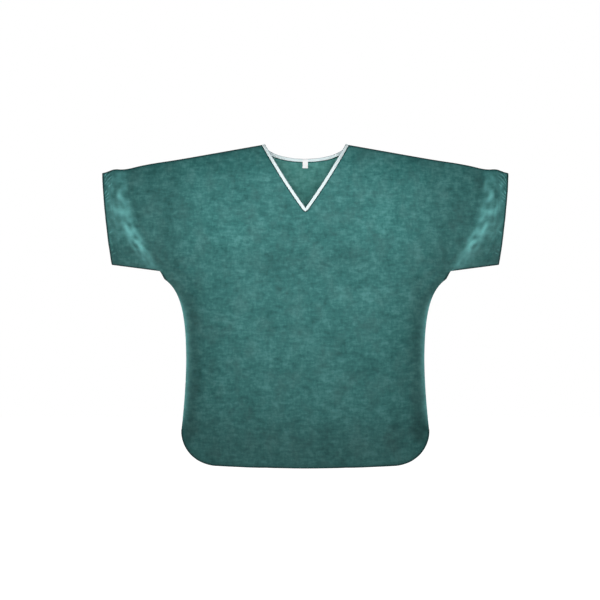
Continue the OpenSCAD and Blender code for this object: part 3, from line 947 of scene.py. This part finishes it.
def make_light(name, place, target, size, radiance, spread=180):
    """A soft area light; radiance is how bright its face is against white at 1."""
    data = bpy.data.lights.new(name, "AREA")
    data.shape = "RECTANGLE"
    data.size, data.size_y = size
    data.energy = radiance * math.pi * size[0] * size[1]
    data.spread = math.radians(spread)
    light = bpy.data.objects.new(name, data)
    light.location = place
    bpy.context.scene.collection.objects.link(light)
    look_at(light, target)


def make_world(ambient):
    """White to the eye, and a weaker even light on the object."""
    w = Nodes("studio", bpy.data.worlds)
    bpy.context.scene.world = w.owner
    background = w.tree.nodes["Background"]
    background.inputs["Color"].default_value = (1, 1, 1, 1)
    up = w.parts(w.add("TexCoord").outputs["Generated"])[2]
    sky = w.remap(up, -1.0, 1.0, 0.8 * ambient, 1.2 * ambient)
    seen = w.add("LightPath").outputs["Is Camera Ray"]
    w.link(w.remap(seen, 0.0, 1.0, sky, 1.0), background.inputs["Strength"])


def make_floor():
    z = -LENGTH - FLOOR_DROP
    corners = [(FLOOR_HALF * a, FLOOR_HALF * b, z) for a, b in ((-1, -1), (1, -1), (1, 1), (-1, 1))]
    m = Nodes("studio_floor")
    place = m.add("TexCoord").outputs["Object"]
    grain = m.noise(place, 3.0, 2.0)
    m.shader.inputs["Emission Color"].default_value = (1, 1, 1, 1)
    m.shader.inputs["Emission Strength"].default_value = 1.0
    floor_material = m.finish(m.blend(grain, (0.93, 0.93, 0.93, 1), (0.95, 0.95, 0.95, 1)), 0.9, None)
    floor = new_mesh("studio_floor", np.array(corners), [(0, 1, 2, 3)], [floor_material])
    floor.visible_diffuse = False


make_camera()
make_world(0.10)
make_floor()
make_light("key", (-0.03, -1.12, -0.06), (0, 0, -0.20), (0.8, 0.5), 3.0, 100)
make_light("fill", (0.3, -3.4, 0.6), (0, 0, -0.25), (2.0, 1.6), 0.7)
make_light("rim_left", (1.25, 0.85, -0.10), (0.25, 0, -0.45), (0.4, 1.2), 9.0)
make_light("rim_right", (-1.25, 0.85, -0.10), (-0.25, 0, -0.45), (0.4, 1.2), 9.0)
make_light("behind", (0.5, 1.9, 0.9), (0, 0, -0.25), (2.2, 1.0), 2.4)
view = bpy.context.scene.view_settings
view.view_transform = "Standard"
view.look = "None"


# ---- the cloth ----

def place(obj, body, node, slot):
    """A piece that moves with one body and shows in a CAD node's stead."""
    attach(obj, body)
    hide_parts(node)


def bend_with_sleeve(obj):
    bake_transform(obj)


cloth = {side: cloth_layer(side) for side in ("front", "back")}
for side, halves in cloth.items():
    for hand, obj in halves.items():
        bend_with_sleeve(obj)
        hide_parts(f"{side}_panel", f"{hand}_{side}_bend", f"{hand}_{side}_sleeve")


# ---- bottom hems ----

def whole_path(half):
    """A line from the right end through the middle to the left end."""
    mirrored = half[::-1] * (-1, 1)
    return np.concatenate([mirrored[:-1], half])


HEM_PATH = whole_path(resample(HEM, 2.6 * MM))
HEM_INTO = -inward(HEM_PATH)


def make_hem(side):
    section = folded_section(HEM_WIDTH, 4)
    rings, cut = band_rings(HEM_PATH, HEM_INTO, section, side, "left")
    hem = swept(f"{side}_bottom_hem", rings, HEM_CLOTH, cut)
    plain_extras(hem)
    place(hem, "torso", f"{side}_hem", "hem")
    rows = [row_on(HEM_PATH, HEM_INTO, HEM_WIDTH - 1.7 * MM, over, side, "left")
            for over in (OVER_CLOTH, UNDER_LEAF)]
    line = stitch_rows(f"{side}_bottom_stitches", rows, THREAD, HEM_STITCH)
    place(line, "torso", f"{side}_hem_stitching", "thread")
    return [hem, line]


hems = {side: make_hem(side) for side in ("front", "back")}


# ---- sleeve hems ----

def cuff_path():
    """The sleeve end from below, and the way into the sleeve at each of its points."""
    path = resample(CUFF[::-1], FINE_STEP)
    t = np.linspace(0, 1, len(path))[:, None]
    low = unit(np.subtract(UNDERARM, SLEEVE_BOTTOM))
    high = unit((NECK_HALF - SLEEVE_HALF, SHOULDER_DROP))
    into = unit(low * (1 - t) + high * t)
    return path, into


def make_cuff(hand):
    path, into = cuff_path()
    pieces = []
    rows = []
    for side in ("front", "back"):
        section = folded_section(CUFF_WIDTH, 15)
        rings, cut = band_rings(path[1:-1], into[1:-1], section, side, hand)
        piece = swept(f"{hand}_{side}_sleeve_hem", rings, HEM_CLOTH, cut)
        plain_extras(piece)
        place(piece, f"{hand}_sleeve", f"{hand}_sleeve_hem", "hem")
        pieces.append(piece)
        for over in (OVER_CLOTH, UNDER_LEAF):
            rows.append(row_on(path, into, CUFF_WIDTH - 1.8 * MM, over, side, hand, (1, -1)))
    line = stitch_rows(f"{hand}_sleeve_stitches", rows, THREAD, HEM_STITCH)
    place(line, f"{hand}_sleeve", f"{hand}_sleeve_stitching", "thread")
    return pieces + [line]


cuffs = {hand: make_cuff(hand) for hand in HAND}


# ---- seams: allowances inside the gown, with overlocked edges ----

def seam_allowance(name, path, into, hand):
    """Two leaves in the seam plane with a wavy outer edge."""
    sign = HAND[hand]
    section = np.array([(0.9, 0.30), (3.4, 0.36), (5.8, 0.33), (6.1, 0.0),
                        (5.8, -0.33), (3.4, -0.36), (0.9, -0.30)]) * MM
    along = arc_lengths(path)
    wave = 1 + 0.03 * np.sin(along * 420) + 0.02 * np.sin(along * 175 + 1)
    reach = section[None, :, 0] * wave[:, None]
    flat = path[:, None, :] + into[:, None, :] * reach[:, :, None]
    sway = 0.25 * MM * np.sin(along * 260)[:, None] * (section[None, :, 0] / (6 * MM))
    y = section[None, :, 1] + sway
    rings = np.stack([flat[:, :, 0] * sign, y, flat[:, :, 1]], axis=2)
    obj = swept(name, rings, HEM_CLOTH, strip_cut(path, section))
    plain_extras(obj)
    return obj


def overlock(name, path, into, hand):
    """The slanted thread loops that wrap the edge of an allowance."""
    sign = HAND[hand]
    fine = resample(path, 2.4 * MM)
    n = len(fine)
    turn = unit(np.stack([np.interp(np.linspace(0, 1, n), np.linspace(0, 1, len(into)), into[:, k])
                          for k in range(2)], axis=1))
    points, faces = [], []
    for i in range(1, n - 1):
        for lift in (0.50 * MM, -0.50 * MM):
            inner = fine[i] + turn[i] * 3.0 * MM
            outer = fine[i] * 0.6 + fine[i + 1] * 0.4 + turn[i] * 6.15 * MM
            a = np.array([inner[0] * sign, lift, inner[1]])
            b = np.array([outer[0] * sign, lift * 0.7, outer[1]])
            stitch(points, faces, a, b, np.array([0.0, math.copysign(1.0, lift), 0.0]),
                   0.35 * MM, 0.25 * MM)
    return threads_of(name, points, faces, THREAD)


def make_seams(hand):
    first = NECK_HALF + TAPE_WIDTHS["front"] + 1 * MM
    x = np.linspace(first, SLEEVE_HALF - CUFF_WIDTH - 1 * MM, 130)
    over = resample(np.stack([x, shoulder_z(x)], axis=1), 3 * MM)
    under = resample(EDGE, 3 * MM)
    keep = under[:, 0] < SLEEVE_BOTTOM[0] - CUFF_WIDTH - 1 * MM
    under = under[keep][3:]
    for label, path, into, nodes in (
            ("top", over, inward(over), ("shoulder_seam", "overarm_seam", "bend_seams")),
            ("side", under, -inward(under), ("side_seam", "underarm_seam", "bend_seams"))):
        seam = seam_allowance(f"{hand}_{label}_seam", path, into, hand)
        threads = overlock(f"{hand}_{label}_overlock", path, into, hand)
        bend_with_sleeve(seam)
        bend_with_sleeve(threads)
        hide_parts(*(f"{hand}_{node}" for node in nodes))


def make_bartack(hand):
    """A dense zigzag of thread on each layer, just above the corner of the hem."""
    points, faces = [], []
    for side in ("front", "back"):
        passes = 9
        z = np.array([HEM_CORNER[1] + HEM_WIDTH + 2.2 * MM * (i % 2) for i in range(passes)])
        edge = np.interp(z, SIDE[:, 1], SIDE[:, 0])
        x = edge - (2.0 + 0.9 * np.arange(passes)) * MM
        line, ups = surface(x * HAND[hand], z, side)
        line = line + ups * 0.15 * MM
        for i in range(passes - 1):
            stitch(points, faces, line[i], line[i + 1], ups[i], 0.5 * MM, 0.35 * MM)
    obj = threads_of(f"{hand}_bar_tack", points, faces, THREAD)
    place(obj, "torso", f"{hand}_bartack", "thread")


for hand in HAND:
    make_seams(hand)
for hand in HAND:
    make_bartack(hand)


# ---- the neck binding ----

TAPE_T = 0.55 * MM
TAPE_EASE = 0.12 * MM


def tape_section(width):
    """A soft U round the cloth's raw edge: outer leaf, round fold and inner leaf."""
    over = TAPE_EASE
    under = -CLOTH_T - TAPE_EASE
    middle = (over + under) / 2
    outer_r = (over - under) / 2 + TAPE_T
    inner_r = (over - under) / 2
    a = np.linspace(math.pi / 2, 3 * math.pi / 2, 9)
    leaf = np.linspace(width, 0.4 * MM, 5)
    swell = 0.12 * MM * np.sin(np.linspace(0.3, math.pi, 5))
    outside = [(s, over + TAPE_T + w) for s, w in zip(leaf, swell)]
    outside += [(-0.3 * MM + outer_r * math.cos(t), middle + outer_r * math.sin(t)) for t in a]
    outside += [(s, under - TAPE_T - w) for s, w in zip(leaf[::-1], swell[::-1])]
    inside = [(s, under) for s in leaf]
    inside += [(-0.1 * MM + inner_r * math.cos(t), middle + inner_r * math.sin(t)) for t in a[::-2]]
    inside += [(s, over) for s in leaf[::-1]]
    return outside + inside


def tape(name, path, into, side, hand, node, stitch_node):
    """A length of tape over the neck's edge, with its stitches."""
    width = TAPE_WIDTHS[side]
    rings, cut = band_rings(path, into, tape_section(width), side, hand)
    piece = swept(name, rings, TAPE, cut, sharp=60)
    place(piece, "torso", node, "binding")
    edge = width - 1.5 * MM
    top = row_on(path, into, edge, TAPE_EASE + TAPE_T + 0.16 * MM, side, hand, (1, -1))
    below = row_on(path, into, edge, -CLOTH_T - TAPE_EASE - TAPE_T - 0.16 * MM, side, hand, (1, -1))
    line = stitch_rows(name.replace("binding", "binding_stitches"), [top, below], WHITE_THREAD,
                       2.8 * MM, width=0.45 * MM, thick=0.28 * MM)
    place(line, "torso", stitch_node, "binding_thread")


def make_binding():
    """Two legs that meet in a mitre at the point of the V, and the curve at the back."""
    shoulder = unit((SLEEVE_HALF - NECK_HALF, -SHOULDER_DROP))
    path = resample(NECK["front"], 2.2 * MM)
    into = inward(path)
    t = np.linspace(0, 1, len(path))[:, None]
    into = unit(into + (shoulder - into[-1]) * smooth((t - 0.9) / 0.1))
    mitre = smooth(1 - t / 0.045)
    into = unit(into * (1 - mitre) + np.array([0.0, -1.0]) * mitre) * (1 + 0.15 * mitre)
    for hand in HAND:
        tape(f"{hand}_neck_binding", path, into, "front", hand,
             f"{hand}_front_binding", f"{hand}_binding_stitching")
    path = whole_path(resample(NECK["back"], 2.2 * MM))
    into = -inward(path[::-1])[::-1]
    t = np.linspace(0, 1, len(path))[:, None]
    into = unit(into + (shoulder - into[-1]) * smooth((t - 0.93) / 0.07))
    into = unit(into + (shoulder * (-1, 1) - into[0]) * smooth((0.07 - t) / 0.07))
    tape("back_neck_binding", path, into, "back", "left", "back_binding", "back_binding_stitching")


make_binding()


# ---- the size label ----

LABEL_WIDTH = 0.0124
LABEL_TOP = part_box("size_label")[1].z + 2 * MM
LABEL_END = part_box("size_label")[0].z
LABEL_GAP = 0.10 * MM
LABEL_RADIUS = LABEL_GAP / 2 + 0.28 * MM    # of the fold: half of the gap and the tape
LABEL_BOW = 0.45 * MM


def label_loop(curl, down):
    """The label's side view, as (y, z): two leaves and the small fold that joins them."""
    def leaf(off):
        return [(y + off, z) for y, z in zip(curl, down)]
    turn = np.linspace(0, math.pi, 7)[1:-1]
    fold = [(curl[-1] - LABEL_RADIUS * math.cos(t), LABEL_END - LABEL_RADIUS * math.sin(t))
            for t in turn]
    half = LABEL_GAP / 2
    return leaf(-LABEL_RADIUS) + fold + leaf(LABEL_RADIUS)[::-1] + leaf(half) + leaf(-half)[::-1]


def label_bow(x):
    return LABEL_BOW * (x / LABEL_WIDTH * 2) ** 2


def make_label():
    """A blank woven tape folded in half, its top edge under the neck binding's stitches."""
    length = LABEL_TOP - LABEL_END
    s = np.linspace(0, length, 20)
    neck_y = height(np.zeros(1), np.array([-SCOOP_DEPTH - 3 * MM]), "back")[0]
    start_y = neck_y - CLOTH_T - TAPE_EASE - TAPE_T - 0.95 * MM
    curl = start_y - 1.3 * MM * smooth(s / length) + 0.5 * MM * np.sin(s / length * math.pi)
    loop = label_loop(curl, LABEL_TOP - s)
    along = arc_lengths(np.array(loop))
    rings, cut = [], []
    for x in np.linspace(-LABEL_WIDTH / 2, LABEL_WIDTH / 2, 9):
        off = label_bow(x) + 0.12 * MM * math.sin(x * 900)
        rings.append([(x, y + off, z) for y, z in loop])
        cut += [(x, a, 0.0) for a in along]
    label = swept("size_label_tape", np.array(rings), LABEL, np.array(cut), sharp=55)
    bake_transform(label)
    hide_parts("size_label")
    x = np.linspace(-LABEL_WIDTH / 2 + 0.6 * MM, LABEL_WIDTH / 2 - 0.6 * MM, 20)
    y = start_y - LABEL_RADIUS - 0.1 * MM + label_bow(x)
    row = np.stack([x, y, np.full(20, LABEL_TOP - 0.9 * MM)], axis=1)
    ups = np.tile((0.0, -1.0, 0.0), (20, 1))
    line = stitch_rows("label_stitches", [(row, ups)], WHITE_THREAD, 2.1 * MM,
                       width=0.4 * MM, thick=0.25 * MM)
    place(line, "torso", "label_stitching", "binding_thread")
    return label


label = make_label()


# ---- the scene brought up to date ----

bpy.context.view_layer.update()
